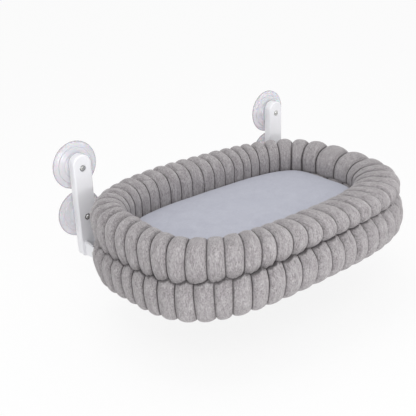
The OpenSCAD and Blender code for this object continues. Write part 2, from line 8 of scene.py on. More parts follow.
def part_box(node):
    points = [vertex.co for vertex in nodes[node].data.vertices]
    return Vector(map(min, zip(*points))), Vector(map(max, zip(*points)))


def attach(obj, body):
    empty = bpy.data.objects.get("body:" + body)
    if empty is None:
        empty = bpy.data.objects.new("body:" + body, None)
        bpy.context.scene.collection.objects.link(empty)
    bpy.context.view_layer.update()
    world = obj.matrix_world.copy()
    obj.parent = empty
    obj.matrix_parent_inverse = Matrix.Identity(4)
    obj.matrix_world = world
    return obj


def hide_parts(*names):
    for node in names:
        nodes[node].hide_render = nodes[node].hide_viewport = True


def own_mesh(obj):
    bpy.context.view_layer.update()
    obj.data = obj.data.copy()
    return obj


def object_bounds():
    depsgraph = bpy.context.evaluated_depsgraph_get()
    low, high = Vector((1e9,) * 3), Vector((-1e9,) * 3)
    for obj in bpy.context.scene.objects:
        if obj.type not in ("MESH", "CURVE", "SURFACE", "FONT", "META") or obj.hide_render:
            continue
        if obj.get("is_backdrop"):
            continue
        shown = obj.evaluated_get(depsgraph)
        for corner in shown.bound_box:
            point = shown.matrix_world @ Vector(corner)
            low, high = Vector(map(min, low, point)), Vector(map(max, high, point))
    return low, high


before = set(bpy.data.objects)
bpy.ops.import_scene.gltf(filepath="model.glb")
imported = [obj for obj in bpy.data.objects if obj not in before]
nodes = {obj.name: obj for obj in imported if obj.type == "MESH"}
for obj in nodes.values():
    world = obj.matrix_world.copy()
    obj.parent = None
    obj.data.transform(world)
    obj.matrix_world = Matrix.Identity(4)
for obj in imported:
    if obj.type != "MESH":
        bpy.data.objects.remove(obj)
cad_low, cad_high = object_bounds()
mm = 0.001

# Arms: a moulded white ABS shell in front and a flat ABS plate behind, screwed together from the
# glass side. The mould leaves a fine grain, a satin gloss that wavers a little, and rounded edges.


def linear(code):
    """The linear colour of an sRGB hex code, with alpha 1."""
    parts = [int(code[i:i + 2], 16) / 255 for i in (1, 3, 5)]
    return tuple(c / 12.92 if c <= 0.04045 else ((c + 0.055) / 1.055) ** 2.4 for c in parts) + (1.0,)


def add(tree, kind, sockets=None, **settings):
    """A shader node with its settings, and its sockets filled with values or links."""
    made = tree.nodes.new(kind)
    for key, value in settings.items():
        setattr(made, key, value)
    for key, value in (sockets or {}).items():
        if isinstance(value, bpy.types.NodeSocket):
            tree.links.new(value, made.inputs[key])
        else:
            made.inputs[key].default_value = value
    return made


def new_material(name):
    """An empty material and its node tree."""
    material = bpy.data.materials.new(name)
    material.use_nodes = True
    material.node_tree.nodes.clear()
    return material, material.node_tree


def dress(material, *names):
    """Gives CAD nodes a material."""
    for name in names:
        nodes[name].data.materials.clear()
        nodes[name].data.materials.append(material)


white_abs, tree = new_material("white_abs")
place = add(tree, "ShaderNodeTexCoord").outputs["Object"]
grain_mm = 1.2  # true grain is 0.1 mm, too fine to show
wavers_per_m = 18.0
grain = add(tree, "ShaderNodeTexNoise", {"Vector": place, "Scale": 1000 / grain_mm, "Detail": 3.0})
flow = add(tree, "ShaderNodeTexNoise", {"Vector": place, "Scale": wavers_per_m, "Detail": 2.0})
tint = add(
    tree, "ShaderNodeMix", {"Factor": flow.outputs["Fac"], "A": linear("#ECECEF"), "B": linear("#E5E5E9")},
    data_type="RGBA",
)
gloss = add(
    tree, "ShaderNodeMapRange",
    {"Value": flow.outputs["Fac"], "To Min": 0.26, "To Max": 0.38},
)
soft_edge = add(tree, "ShaderNodeBevel", {"Radius": 1.1 * mm}, samples=6)
pitted = add(
    tree, "ShaderNodeBump",
    {"Height": grain.outputs["Fac"], "Strength": 0.25, "Distance": 0.05 * mm, "Normal": soft_edge.outputs[0]},
)
shader = add(tree, "ShaderNodeBsdfPrincipled", {
    "Base Color": tint.outputs["Result"], "Roughness": gloss.outputs["Result"], "IOR": 1.53,
    "Subsurface Weight": 0.2, "Subsurface Scale": 3 * mm, "Subsurface Radius": (1.0, 1.0, 1.0),
    "Coat Weight": 0.4, "Coat Roughness": 0.3,
    "Normal": pitted.outputs[0],
})
add(tree, "ShaderNodeOutputMaterial", {"Surface": shader.outputs[0]})
dress(white_abs, "left_arm_front", "right_arm_front", "left_arm_back", "right_arm_back")

# Steel parts: zinc plated screws, washers, pins and nuts, bright and clouded with fine tool marks. The
# arms' spines and the tube's plugs are drawn steel, which is duller, with streaks that run upright.

zinc_steel, tree = new_material("zinc_plated_steel")
place = add(tree, "ShaderNodeTexCoord").outputs["Object"]
mark_mm = 0.6  # true turning marks are 0.1 mm apart, too fine to show
cloud_mm = 4.0
marks = add(tree, "ShaderNodeTexNoise", {"Vector": place, "Scale": 1000 / mark_mm, "Detail": 2.0})
clouds = add(tree, "ShaderNodeTexNoise", {"Vector": place, "Scale": 1000 / cloud_mm, "Detail": 2.0})
tint = add(
    tree, "ShaderNodeMix", {"Factor": clouds.outputs["Fac"], "A": linear("#C9CBCE"), "B": linear("#DAD9D2")},
    data_type="RGBA",
)
gloss = add(tree, "ShaderNodeMapRange", {"Value": marks.outputs["Fac"], "To Min": 0.14, "To Max": 0.30})
soft_edge = add(tree, "ShaderNodeBevel", {"Radius": 0.35 * mm}, samples=6)
scratched = add(
    tree, "ShaderNodeBump",
    {"Height": marks.outputs["Fac"], "Strength": 0.3, "Distance": 0.03 * mm, "Normal": soft_edge.outputs[0]},
)
shader = add(tree, "ShaderNodeBsdfPrincipled", {
    "Base Color": tint.outputs["Result"], "Metallic": 1.0, "Roughness": gloss.outputs["Result"],
    "Normal": scratched.outputs[0],
})
add(tree, "ShaderNodeOutputMaterial", {"Surface": shader.outputs[0]})
dress(
    zinc_steel, "cup_screws", "cup_washers", "arm_screws", "hinge_pins", "hinge_nuts", "lug_screws",
    "joint_screws",
)

drawn_steel, tree = new_material("drawn_steel")
place = add(tree, "ShaderNodeTexCoord").outputs["Object"]
streaks_per_mm = 0.9  # true drawing marks are 10 to the millimetre, too fine to show
streak_draw = 0.04  # the streaks are 25 times as long as they are wide
along = add(tree, "ShaderNodeMapping", {"Vector": place, "Scale": (1.0, 1.0, streak_draw)})
streaks = add(
    tree, "ShaderNodeTexNoise", {"Vector": along.outputs[0], "Scale": 1000 * streaks_per_mm, "Detail": 3.0},
)
tint = add(
    tree, "ShaderNodeMix", {"Factor": streaks.outputs["Fac"], "A": linear("#A9ABAD"), "B": linear("#C6C7C8")},
    data_type="RGBA",
)
gloss = add(tree, "ShaderNodeMapRange", {"Value": streaks.outputs["Fac"], "To Min": 0.28, "To Max": 0.46})
shader = add(tree, "ShaderNodeBsdfPrincipled", {
    "Base Color": tint.outputs["Result"], "Metallic": 1.0, "Roughness": gloss.outputs["Result"],
})
add(tree, "ShaderNodeOutputMaterial", {"Surface": shader.outputs[0]})
dress(drawn_steel, "left_spine", "right_spine", "joint_sleeves")

# Suction cups: clear soft PVC, injection moulded, with two steps between the lip and the boss. Grey
# lines of painted shade at the lip and the steps stand for the light that the clear edges bend away,
# and the rest looks milky.

clear_pvc, tree = new_material("clear_pvc")
place = add(tree, "ShaderNodeTexCoord").outputs["Object"]
haze_mm = 25.0
haze = add(tree, "ShaderNodeTexNoise", {"Vector": place, "Scale": 1000 / haze_mm, "Detail": 2.0})
hazy = add(
    tree, "ShaderNodeMix", {"Factor": haze.outputs["Fac"], "A": linear("#F1F1F5"), "B": linear("#E8E8EE")},
    data_type="RGBA",
)
# Painted shade: grey lines at the lip and the steps, which stand for the light that the clear edges bend
# away.
edge_shade = add(tree, "ShaderNodeAttribute", attribute_name="edge_shade").outputs["Fac"]
tint = add(
    tree, "ShaderNodeMix", {"Factor": edge_shade, "A": hazy.outputs["Result"], "B": linear("#A9A9B2")},
    data_type="RGBA",
)
gloss = add(tree, "ShaderNodeMapRange", {"Value": haze.outputs["Fac"], "To Min": 0.12, "To Max": 0.24})
shader = add(tree, "ShaderNodeBsdfPrincipled", {
    "Base Color": tint.outputs["Result"], "Roughness": gloss.outputs["Result"], "IOR": 1.52,
    "Transmission Weight": 0.55, "Subsurface Weight": 0.3, "Subsurface Scale": 4 * mm,
})
add(tree, "ShaderNodeOutputMaterial", {"Surface": shader.outputs[0]})


def new_piece(name, points, faces, material, body):
    """A smooth-shaded mesh that rides on a body."""
    mesh = bpy.data.meshes.new(name)
    mesh.from_pydata([tuple(p) for p in points], [], [tuple(f) for f in faces])
    mesh.validate()
    mesh.update()
    mesh.polygons.foreach_set("use_smooth", [True] * len(mesh.polygons))
    mesh.materials.append(material)
    made = bpy.data.objects.new(name, mesh)
    bpy.context.scene.collection.objects.link(made)
    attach(made, body)
    return made


def rounded(corners, radius, steps=4):
    """An open outline with its inner corners rounded by up to that radius."""
    out = [corners[0]]
    for before, at, after in zip(corners, corners[1:], corners[2:]):
        at = np.array(at, float)
        back, ahead = np.array(before) - at, np.array(after) - at
        cut = min(radius, np.linalg.norm(back) * 0.48, np.linalg.norm(ahead) * 0.48)
        start = at + back / np.linalg.norm(back) * cut
        end = at + ahead / np.linalg.norm(ahead) * cut
        for t in np.linspace(0, 1, steps + 1):
            out.append(tuple(start * (1 - t) ** 2 + at * 2 * t * (1 - t) + end * t * t))
    return out + [corners[-1]]


cup_low, cup_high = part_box("left_upper_cup")
cup_r = (cup_high.x - cup_low.x) / 2
cup_deep = cup_high.y - cup_low.y
boss_r = 13.5 * mm
insert_r = 4.5 * mm
insert_l = 8.5 * mm
insert_play = 0.02 * mm
seal_w = 6 * mm
hollow = 2.6 * mm
rim_t = 1.6 * mm
profile = rounded([
    (insert_play, -hollow), (cup_r * 0.5, -hollow), (cup_r - seal_w, -0.1 * mm), (cup_r - 1 * mm, 0.0),
    (cup_r, -0.5 * rim_t), (cup_r - 0.6 * mm, -rim_t), (cup_r - 3.5 * mm, -rim_t - 0.2 * mm),
    (cup_r * 0.77, -3.0 * mm), (cup_r * 0.75, -4.6 * mm), (cup_r * 0.56, -6.0 * mm),
    (cup_r * 0.50, -7.8 * mm), (boss_r + 1.5 * mm, -8.8 * mm), (boss_r, -10.5 * mm),
    (boss_r - 0.3 * mm, -cup_deep), (insert_r + 0.4 * mm, -cup_deep),
    (insert_r + insert_play, -cup_deep + 0.4 * mm), (insert_r + insert_play, -cup_deep + insert_l),
    (insert_play, -cup_deep + insert_l),
], 1.2 * mm)
turns = 96
shaded_rings = (  # place and width as shares of the cup's radius, and how dark the painted shade is
    (0.985, 0.02, 0.7), (0.76, 0.02, 0.35), (0.53, 0.03, 0.35),
)
for name in ("left_upper_cup", "left_lower_cup", "right_upper_cup", "right_lower_cup"):
    low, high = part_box(name)
    mid_x, mid_z = (low.x + high.x) / 2, (low.z + high.z) / 2
    angles = np.arange(turns) * 2 * np.pi / turns
    points = [
        (mid_x + r * math.cos(a), high.y + y, mid_z + r * math.sin(a)) for r, y in profile for a in angles
    ]
    faces = [
        (j * turns + k, j * turns + (k + 1) % turns, (j + 1) * turns + (k + 1) % turns, (j + 1) * turns + k)
        for j in range(len(profile) - 1) for k in range(turns)
    ]
    last = (len(profile) - 1) * turns
    faces += [tuple(range(turns))[::-1], tuple(range(last, last + turns))]
    cup = new_piece("soft_" + name, points, faces, clear_pvc, "brackets")
    shade = [
        sum(grey * math.exp(-(((r / cup_r - at) / wide) ** 2)) for at, wide, grey in shaded_rings)
        for r, _ in profile for _ in angles
    ]
    layer = cup.data.attributes.new("edge_shade", "FLOAT", "POINT")
    layer.data.foreach_set("value", np.array(shade, np.float32))
    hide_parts(name)

# Threaded inserts: brass, turned and held in a cup's boss by the moulding round them. Turning leaves
# the brass bright and yellow, with fine marks in its gloss.

turned_brass, tree = new_material("turned_brass")
place = add(tree, "ShaderNodeTexCoord").outputs["Object"]
marks_per_mm = 1.4  # true turning marks are 10 to the millimetre, too fine to show
marks = add(tree, "ShaderNodeTexNoise", {"Vector": place, "Scale": 1000 * marks_per_mm, "Detail": 2.0})
gloss = add(tree, "ShaderNodeMapRange", {"Value": marks.outputs["Fac"], "To Min": 0.18, "To Max": 0.34})
shader = add(tree, "ShaderNodeBsdfPrincipled", {
    "Base Color": linear("#C9A35B"), "Metallic": 1.0, "Roughness": gloss.outputs["Result"],
})
add(tree, "ShaderNodeOutputMaterial", {"Surface": shader.outputs[0]})
dress(turned_brass, "cup_inserts")

# Hinge lugs: moulded pale nylon, matt with a fine pitted grain, reaching from the tube to the arms.
# They turn on the pins in bushes and washers of turned acetal, which looks creamy and waxy.

grained_nylon, tree = new_material("grained_nylon")
place = add(tree, "ShaderNodeTexCoord").outputs["Object"]
grain = add(tree, "ShaderNodeTexNoise", {"Vector": place, "Scale": 1000 / grain_mm, "Detail": 4.0})
tint = add(
    tree, "ShaderNodeMix", {"Factor": grain.outputs["Fac"], "A": linear("#E3E3E4"), "B": linear("#D6D6D8")},
    data_type="RGBA",
)
gloss = add(tree, "ShaderNodeMapRange", {"Value": grain.outputs["Fac"], "To Min": 0.42, "To Max": 0.58})
soft_edge = add(tree, "ShaderNodeBevel", {"Radius": 0.9 * mm}, samples=6)
pitted = add(
    tree, "ShaderNodeBump",
    {"Height": grain.outputs["Fac"], "Strength": 0.5, "Distance": 0.08 * mm, "Normal": soft_edge.outputs[0]},
)
shader = add(tree, "ShaderNodeBsdfPrincipled", {
    "Base Color": tint.outputs["Result"], "Roughness": gloss.outputs["Result"], "IOR": 1.53,
    "Normal": pitted.outputs[0],
})
add(tree, "ShaderNodeOutputMaterial", {"Surface": shader.outputs[0]})
dress(grained_nylon, "left_lug", "right_lug")

turned_acetal, tree = new_material("turned_acetal")
place = add(tree, "ShaderNodeTexCoord").outputs["Object"]
marks_per_mm = 1.2  # coarser than the true marks here too
marks = add(tree, "ShaderNodeTexNoise", {"Vector": place, "Scale": 1000 * marks_per_mm, "Detail": 2.0})
gloss = add(tree, "ShaderNodeMapRange", {"Value": marks.outputs["Fac"], "To Min": 0.3, "To Max": 0.45})
shader = add(tree, "ShaderNodeBsdfPrincipled", {
    "Base Color": linear("#EFECE2"), "Roughness": gloss.outputs["Result"], "IOR": 1.48,
})
add(tree, "ShaderNodeOutputMaterial", {"Surface": shader.outputs[0]})
dress(turned_acetal, "hinge_bushes", "hinge_washers")

# Frame: two halves of bent steel tube and two cross bars between them, powder coated pale grey. Powder
# coat has a fine orange peel and a satin gloss.

powder_coat, tree = new_material("powder_coat")
place = add(tree, "ShaderNodeTexCoord").outputs["Object"]
peel_mm = 1.6
cloud_mm = 40.0
peel = add(tree, "ShaderNodeTexNoise", {"Vector": place, "Scale": 1000 / peel_mm, "Detail": 2.0})
clouds = add(tree, "ShaderNodeTexNoise", {"Vector": place, "Scale": 1000 / cloud_mm, "Detail": 2.0})
tint = add(
    tree, "ShaderNodeMix", {"Factor": clouds.outputs["Fac"], "A": linear("#E6E6E8"), "B": linear("#DCDCDF")},
    data_type="RGBA",
)
gloss = add(tree, "ShaderNodeMapRange", {"Value": peel.outputs["Fac"], "To Min": 0.30, "To Max": 0.42})
dimpled = add(
    tree, "ShaderNodeBump", {"Height": peel.outputs["Fac"], "Strength": 0.35, "Distance": 0.1 * mm},
)
shader = add(tree, "ShaderNodeBsdfPrincipled", {
    "Base Color": tint.outputs["Result"], "Roughness": gloss.outputs["Result"], "IOR": 1.5,
    "Coat Weight": 0.2, "Coat Roughness": 0.25, "Normal": dimpled.outputs[0],
})
add(tree, "ShaderNodeOutputMaterial", {"Surface": shader.outputs[0]})
dress(powder_coat, "front_tube", "rear_tube", "cross_bars")

# Deck board: pressed hardboard, smooth and brown, which lies on the tube and the cross bars. Its fibres
# show as short flecks.

hardboard, tree = new_material("hardboard")
place = add(tree, "ShaderNodeTexCoord").outputs["Object"]
fibre_mm = 2.5
fibres = add(
    tree, "ShaderNodeTexNoise",
    {"Vector": place, "Scale": 1000 / fibre_mm, "Detail": 5.0, "Roughness": 0.7, "Distortion": 0.6},
)
tint = add(
    tree, "ShaderNodeMix", {"Factor": fibres.outputs["Fac"], "A": linear("#8A6743"), "B": linear("#A98259")},
    data_type="RGBA",
)
rough = add(
    tree, "ShaderNodeBump", {"Height": fibres.outputs["Fac"], "Strength": 0.4, "Distance": 0.15 * mm},
)
gloss = add(tree, "ShaderNodeMapRange", {"Value": fibres.outputs["Fac"], "To Min": 0.6, "To Max": 0.8})
shader = add(tree, "ShaderNodeBsdfPrincipled", {
    "Base Color": tint.outputs["Result"], "Roughness": gloss.outputs["Result"], "Normal": rough.outputs[0],
})
add(tree, "ShaderNodeOutputMaterial", {"Surface": shader.outputs[0]})
dress(hardboard, "base_board")

# Lining: dark grey spunbond cloth, fixed to the underside of the board in three panels. Its pressed
# dots show as a small grid, and it sags slightly between its edges.

spunbond, tree = new_material("spunbond_cloth")
place = add(tree, "ShaderNodeTexCoord").outputs["Object"]
dot_mm = 2.4
fibres_per_mm = 0.7  # true fibres are 0.02 mm wide, too fine to show
dots = add(
    tree, "ShaderNodeTexVoronoi", {"Vector": place, "Scale": 1000 / dot_mm, "Randomness": 0.25},
)
fibres = add(tree, "ShaderNodeTexNoise", {"Vector": place, "Scale": 1000 * fibres_per_mm, "Detail": 4.0})
tint = add(
    tree, "ShaderNodeMix",
    {"Factor": dots.outputs["Distance"], "A": linear("#58575A"), "B": linear("#6E6D70")},
    data_type="RGBA",
)
pressed = add(
    tree, "ShaderNodeBump", {"Height": dots.outputs["Distance"], "Strength": 0.6, "Distance": 0.2 * mm},
)
gloss = add(tree, "ShaderNodeMapRange", {"Value": fibres.outputs["Fac"], "To Min": 0.75, "To Max": 0.95})
shader = add(tree, "ShaderNodeBsdfPrincipled", {
    "Base Color": tint.outputs["Result"], "Roughness": gloss.outputs["Result"], "Sheen Weight": 0.15,
    "Normal": pressed.outputs[0],
})
add(tree, "ShaderNodeOutputMaterial", {"Surface": shader.outputs[0]})

lining_low, lining_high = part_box("base_lining")
lining_r = 106 * mm
bar_gap = 4.8 * mm
bar_x = 85 * mm
lining_in = 1 * mm
lining_t = 0.5 * mm
lining_sag = 0.15 * mm
lining_ripple = 0.12 * mm
lining_mid = (lining_low + lining_high) / 2
half_x = (lining_high.x - lining_low.x) / 2
half_y = (lining_high.y - lining_low.y) / 2


def lining_edge(x):
    """Half depth of the rounded lining at a distance from the middle of the bed."""
    over = max(abs(x) - (half_x - lining_r), 0.0)
    return half_y - lining_r + math.sqrt(max(lining_r ** 2 - over ** 2, 0.0))


for name, x_from, x_to in (
    ("lining_left", -half_x + lining_in, -bar_x - bar_gap),
    ("lining_middle", -bar_x + bar_gap, bar_x - bar_gap),
    ("lining_right", bar_x + bar_gap, half_x - lining_in),
):
    across, deep = 40, 40
    points = []
    for side in (0, 1):
        for i in range(across + 1):
            x = x_from + (x_to - x_from) * i / across
            edge = lining_edge(x)
            for j in range(deep + 1):
                v = 2 * j / deep - 1
                fade = (1 - v ** 4) * (1 - (2 * i / across - 1) ** 4)
                ripple = lining_ripple * math.sin(x * 130) * math.sin(v * 9)
                z = lining_high.z - 0.1 * mm - side * lining_t - fade * (lining_sag + ripple)
                points.append((x, lining_mid.y + edge * v, max(z, lining_low.z)))
    row, sheet = deep + 1, (across + 1) * (deep + 1)
    faces = []
    for i in range(across):
        for j in range(deep):
            a = i * row + j
            faces.append((a, a + 1, a + row + 1, a + row))
            faces.append((sheet + a, sheet + a + row, sheet + a + row + 1, sheet + a + 1))
    rim = [i * row for i in range(across + 1)] + [across * row + j for j in range(1, deep + 1)]
    rim += [i * row + deep for i in range(across - 1, -1, -1)] + [j for j in range(deep - 1, 0, -1)]
    faces += [(a, b, sheet + b, sheet + a) for a, b in zip(rim, rim[1:] + rim[:1])]
    panel = new_piece(name, points, faces, spunbond, "bed")
    depth = 2 * max(lining_edge(x_from), lining_edge(x_to))
    if name == "lining_left":
        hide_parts("base_lining")

# Straps: woven polypropylene webbing, passed under the tube and fixed to the board on both sides of
# it. The weave looks dull and ribbed both ways, and a strap is thinner towards its edges.

webbing, tree = new_material("woven_webbing")
weave_map = add(tree, "ShaderNodeUVMap", uv_map="weave").outputs[0]
rib_mm = 1.6
rib_scale = 1000 / rib_mm / 6.283
ribs = add(
    tree, "ShaderNodeTexWave", {"Vector": weave_map, "Scale": rib_scale, "Distortion": 0.4},
    wave_type="BANDS", bands_direction="X",
)
picks = add(
    tree, "ShaderNodeTexWave", {"Vector": weave_map, "Scale": rib_scale, "Distortion": 0.4},
    wave_type="BANDS", bands_direction="Y",
)
weave = add(
    tree, "ShaderNodeMath", {0: ribs.outputs["Fac"], 1: picks.outputs["Fac"]}, operation="MULTIPLY",
)
tint = add(
    tree, "ShaderNodeMix", {"Factor": weave.outputs[0], "A": linear("#3C3B3D"), "B": linear("#6A686B")},
    data_type="RGBA",
)
raised = add(
    tree, "ShaderNodeBump", {"Height": weave.outputs[0], "Strength": 0.7, "Distance": 0.3 * mm},
)
gloss = add(tree, "ShaderNodeMapRange", {"Value": weave.outputs[0], "To Min": 0.8, "To Max": 0.6})
shader = add(tree, "ShaderNodeBsdfPrincipled", {
    "Base Color": tint.outputs["Result"], "Roughness": gloss.outputs["Result"], "Sheen Weight": 0.2,
    "Normal": raised.outputs[0],
})
add(tree, "ShaderNodeOutputMaterial", {"Surface": shader.outputs[0]})

tube_low, tube_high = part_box("front_tube")
tube_r = 8 * mm
tube_z = (tube_low.z + tube_high.z) / 2
strap_w = 25 * mm
strap_in = tube_r + 0.15 * mm
strap_out = tube_r + 1.35 * mm
strap_top = tube_r - 0.35 * mm


def strap_mesh(place_at):
    """A strap's points, faces and weave places. place_at turns (along the tube, out, up) into a point."""
    under = np.linspace(math.pi, 2 * math.pi, 25)
    outline = [(-strap_out, strap_top)]
    outline += [(strap_out * math.cos(a), strap_out * math.sin(a)) for a in under]
    outline += [(strap_out, strap_top), (strap_in, strap_top)]
    outline += [(strap_in * math.cos(a), strap_in * math.sin(a)) for a in under[::-1]]
    outline += [(-strap_in, strap_top)]
    count = len(outline)
    cuts = np.linspace(-1, 1, 15)
    found = []
    for w in cuts:
        thin = 1 - 0.35 * abs(w) ** 8
        for k, (out, up) in enumerate(outline):
            reach = math.hypot(out, up)
            if k < count // 2 and up <= 0:
                share = (strap_in + (strap_out - strap_in) * thin) / reach
                out, up = out * share, up * share
            found.append(place_at(w * strap_w / 2, out, up))
    faces = [
        (j * count + k, (j + 1) * count + k, (j + 1) * count + (k + 1) % count, j * count + (k + 1) % count)
        for j in range(len(cuts) - 1) for k in range(count)
    ]
    end = (len(cuts) - 1) * count
    faces += [tuple(range(count)), tuple(range(end + count - 1, end - 1, -1))]
    lengths = [0.0]
    for a, b in zip(outline, outline[1:]):
        lengths.append(lengths[-1] + math.hypot(b[0] - a[0], b[1] - a[1]))
    spots = [(lengths[k], w * strap_w / 2) for w in cuts for k in range(count)]
    return found, faces, spots


def strap_piece(name, node, places):
    """One piece of like straps that stands for its CAD node."""
    points, faces, spots = [], [], []
    for place_at in places:
        p, f, uv = strap_mesh(place_at)
        faces += [tuple(i + len(points) for i in face) for face in f]
        points += p
        spots += uv
    made = new_piece(name, points, faces, webbing, "bed")
    layer = made.data.uv_layers.new(name="weave")
    for loop in made.data.loops:
        layer.data[loop.index].uv = spots[loop.vertex_index]
    made.data.set_sharp_from_angle(angle=math.radians(50))
    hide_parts(node)


bed_y = (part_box("base_board")[0].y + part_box("base_board")[1].y) / 2
tube_x = tube_high.x - tube_r
tube_y = bed_y - tube_low.y - tube_r
strap_step = 116 * mm
strap_piece("side_webbing", "side_straps", [
    lambda w, out, up, side=side: (side * (tube_x + out), bed_y + side * w, tube_z + up) for side in (-1, 1)
])
for name, node, side in (("front_webbing", "front_straps", -1), ("rear_webbing", "rear_straps", 1)):
    strap_piece(name, node, [
        lambda w, out, up, i=i, side=side: (
            i * strap_step - side * w, bed_y + side * (tube_y + out), tube_z + up
        ) for i in (-1, 0, 1)
    ])
bend_r = 120 * mm


def corner_place(side):
    """Places a strap round the bend at the front corner of one side."""
    def place_at(w, out, up):
        a = -math.pi / 4 + w / bend_r
        reach = bend_r + out
        return (
            side * (tube_x - bend_r + reach * math.cos(a)),
            bed_y - tube_y + bend_r + reach * math.sin(a), tube_z + up,
        )
    return place_at


strap_piece("corner_webbing", "corner_straps", [corner_place(-1), corner_place(1)])

# Ring: two rows of plush puffs, sewn as tubes of short rabbit-like plush with a seam every 35 mm and
# stuffed with fibre. Each seam draws the cloth in to a deep crease, whose shade is painted into the
# plush's colour, and the pile is mottled.

ring_l = 630 * mm
ring_d = 416 * mm
ring_w = 96 * mm
ring_power = 3.4
puffs = 50
half_w = ring_w / 2
ring_x = (ring_l - ring_w) / 2
ring_y = (ring_d - ring_w) / 2
chance = np.random.default_rng(11)

steps = 1440
turn = np.linspace(0, 2 * np.pi, steps + 1)
radius = (np.abs(np.cos(turn) / ring_x) ** ring_power + np.abs(np.sin(turn) / ring_y) ** ring_power) ** (
    -1 / ring_power
)
path = np.c_[radius * np.cos(turn), radius * np.sin(turn)]
pull = np.c_[
    np.sign(path[:, 0]) * np.abs(path[:, 0] / ring_x) ** (ring_power - 1) / ring_x,
    np.sign(path[:, 1]) * np.abs(path[:, 1] / ring_y) ** (ring_power - 1) / ring_y,
]
normal = pull / np.linalg.norm(pull, axis=1)[:, None]
seam_n = 0.85 * half_w
seam_line = path + seam_n * normal
seam_steps = np.linalg.norm(np.diff(seam_line, axis=0), axis=1)
path_s = np.r_[0, np.cumsum(seam_steps)]
heading = np.unwrap(np.arctan2(normal[:, 1], normal[:, 0]))
bend = np.gradient(heading, path_s)
bend = bend / (1 - bend * seam_n)

# Puffs are counted round the ring. The seams lie closer on the back, and wider at the right end and
# left of the middle in front.
from_right = np.mod(turn + np.pi, 2 * np.pi) - np.pi
crowd = 1 + 0.10 * np.exp(-((turn - 0.5 * np.pi) / 0.9) ** 2)
crowd -= 0.45 * np.exp(-((from_right - 0.04) / 0.46) ** 2)
crowd -= 0.10 * np.exp(-((turn - 4.2) / 0.45) ** 2)
path_t = np.r_[0, np.cumsum(seam_steps * (crowd[1:] + crowd[:-1]) / 2)]
path_t *= puffs / path_t[-1]


def on_ring(t, values):
    """Values along the ring at the puff counts t."""
    return np.interp(np.mod(t, puffs), path_t, values)


# The corners' seams are not square to the ring: their inner ends spread along it by these shares.
corner_turn = 0.42
corner_turns = (corner_turn, math.pi - corner_turn, math.pi + corner_turn, 2 * math.pi - corner_turn)
corner_shares = (0.55, 0.0, 0.65, 0.35)
spread_reach = 3.6


def inner_shift(t):
    """How many puffs a seam's inner end lies beyond its outer end."""
    total = 0 * t
    for corner, share in zip(corner_turns, corner_shares):
        off = np.mod(t - np.interp(corner, turn, path_t) + puffs / 2, puffs) - puffs / 2
        total = total + share * off * np.exp(-((off / spread_reach) ** 2))
    return total


def ring_point(t, n):
    """Plan places at the puff counts t and n outside the ring's middle line."""
    share = np.clip((seam_n - n) / (seam_n + half_w), 0, 1)
    t = t + inner_shift(t) * share
    return np.stack([
        on_ring(t, path[:, 0]) + n * on_ring(t, normal[:, 0]),
        on_ring(t, path[:, 1]) + n * on_ring(t, normal[:, 1]) + bed_y,
    ], -1)


def lumps(points, size, seed):
    """Smooth noise from -1 to 1 at points, with lumps of that size."""
    q = points / size + 100.0
    cell = np.floor(q).astype(np.int64)
    f = q - cell
    f = f * f * (3 - 2 * f)
    total = np.zeros(points.shape[:-1])
    for corner in range(8):
        step = np.array([corner & 1, corner >> 1 & 1, corner >> 2 & 1])
        c = cell + step
        h = (c[..., 0] * 73856093) ^ (c[..., 1] * 19349663) ^ (c[..., 2] * 83492791) ^ (seed * 2654435761)
        h = (h ^ (h >> 13)) * 1274126177 & 0x7FFFFFFF
        value = ((h ^ (h >> 16)) & 0xFFFF) / 32767.5 - 1
        weight = np.prod(np.where(step == 1, f, 1 - f), axis=-1)
        total += value * weight
    return total


def crease(u, power=2.1):
    """Share of the groove's depth at a place across a puff, from -1 to 1."""
    return 1 - (1 - np.clip(np.abs(u), 0, 1) ** power) ** (1 / power)


plush, tree = new_material("rabbit_plush")
# The attribute carries painted shade: dark in the seams, at the joint between the rows and over it, where
# shade falls.
seam_depth = add(tree, "ShaderNodeAttribute", attribute_name="seam").outputs["Fac"]
lay = add(tree, "ShaderNodeAttribute", attribute_name="lay").outputs["Vector"]
tuft_mm, tuft_l_mm = 1.5, 4.0  # clumps of pile, where a single fibre is 0.05 mm
combed = add(
    tree, "ShaderNodeMapping",
    {"Vector": lay, "Scale": (1000 / tuft_mm, 1000 / tuft_l_mm, 1000 / tuft_mm)},
)
tufts = add(
    tree, "ShaderNodeTexNoise",
    {"Vector": combed.outputs[0], "Scale": 1.0, "Detail": 3.0, "Roughness": 0.7, "Distortion": 0.6},
)
stroke_mm, stroke_l_mm = 6.0, 20.0  # where the pile is brushed aside
swept = add(
    tree, "ShaderNodeMapping",
    {"Vector": lay, "Scale": (1000 / stroke_mm, 1000 / stroke_l_mm, 1000 / stroke_mm)},
)
strokes = add(
    tree, "ShaderNodeTexNoise",
    {"Vector": swept.outputs[0], "Scale": 1.0, "Detail": 3.0, "Roughness": 0.55, "Distortion": 0.8},
)
parted = add(
    tree, "ShaderNodeMapRange", {"Value": tufts.outputs["Fac"], "From Min": 0.29, "From Max": 0.71},
)
tint = add(
    tree, "ShaderNodeMix",
    {"Factor": parted.outputs["Result"], "A": linear("#807C7D"), "B": linear("#CDC9CB")}, data_type="RGBA",
)
stroked = add(
    tree, "ShaderNodeMapRange", {"Value": strokes.outputs["Fac"], "From Min": 0.35, "From Max": 0.65},
)
brushed = add(
    tree, "ShaderNodeMix",
    {"Factor": stroked.outputs["Result"], "A": linear("#DEDCDD"), "B": linear("#FFFFFF")},
    data_type="RGBA",
)
toned = add(
    tree, "ShaderNodeMix", {"Factor": 1.0, "A": tint.outputs["Result"], "B": brushed.outputs["Result"]},
    data_type="RGBA", blend_type="MULTIPLY",
)
